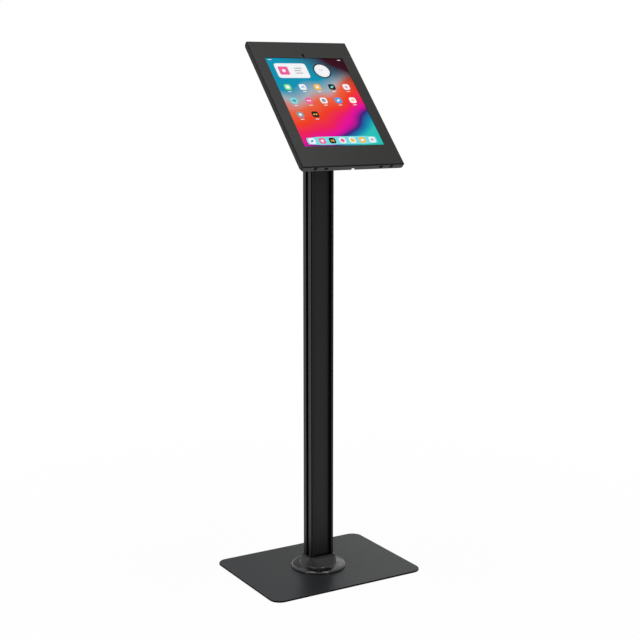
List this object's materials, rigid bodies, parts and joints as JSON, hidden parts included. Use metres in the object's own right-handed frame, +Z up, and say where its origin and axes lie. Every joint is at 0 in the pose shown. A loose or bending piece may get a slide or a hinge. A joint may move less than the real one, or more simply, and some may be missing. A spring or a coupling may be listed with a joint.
{
  "type": "adjustable tablet floor stand",
  "caption": "Floor stand with a flat plate, a grooved column and a locking tablet enclosure that tilts and turns between portrait and landscape.",
  "frame": {"origin": "on the floor, at the middle of the base plate and under the column's centre line", "axes": "+Z up along the column, the display faces -Y, +X to the right as seen from the front"},
  "size_m": [0.4, 0.305, 1.2327],
  "materials": {
    "powder_coat": "fine-textured satin powder coat on steel",
    "column_coat": "satin black anodised extrusion",
    "cast_coat": "black coated casting",
    "gloss_plastic": "polished moulded plastic",
    "matte_plastic": "extruded plastic",
    "pad_rubber": "rubber",
    "zinc_steel": "zinc plated",
    "black_steel": "black oxide",
    "nylon": "natural nylon",
    "foam": "closed-cell foam",
    "tablet_metal": "bead-blasted",
    "black_glass": "black back-printed glass",
    "display": "lit display under glass",
    "lens_glass": "lens"
  },
  "bodies": {
    "stand": {"base_plate": "powder_coat", "foot_pads": "pad_rubber", "foot_flange": "zinc_steel", "base_bolts": "black_steel", "foot_screws": "zinc_steel", "base_collar": "gloss_plastic", "column": "column_coat", "rear_cable_cover": "matte_plastic", "column_head": "cast_coat", "head_screws": "black_steel", "tilt_bolt": "black_steel", "tilt_nut": "black_steel", "tilt_washers": "zinc_steel", "tilt_friction_washers": "nylon", "tilt_stop_pin": "zinc_steel"},
    "tilt_head": {"tilt_bracket": "powder_coat", "swivel_friction_ring": "nylon"},
    "enclosure": {"swivel_plate": "powder_coat", "swivel_plate_screws": "black_steel", "swivel_press_nuts": "zinc_steel", "swivel_bolt": "zinc_steel", "swivel_spring_washer": "zinc_steel", "swivel_nut": "black_steel", "rotation_stop_pin": "zinc_steel", "back_shell": "powder_coat", "front_cover": "powder_coat", "security_screws": "black_steel", "screw_press_nuts": "zinc_steel", "foam_back_pads": "foam", "foam_edge_blocks": "foam", "tablet_body": "tablet_metal", "tablet_bezel": "black_glass", "tablet_display": "display", "tablet_camera": "lens_glass"}
  },
  "joints": [
    {"name": "enclosure_tilt", "type": "hinge", "parent": "stand", "child": "tilt_head", "pos_m": [0, 0, 1.0717], "axis": [1, 0, 0], "range_deg": [-46.7, 43.3]},
    {"name": "enclosure_turn", "type": "hinge", "parent": "tilt_head", "child": "enclosure", "pos_m": [0, 0, 1.0717], "axis": [0, -0.7278, 0.6858], "range_deg": [-90, 90]}
  ]
}
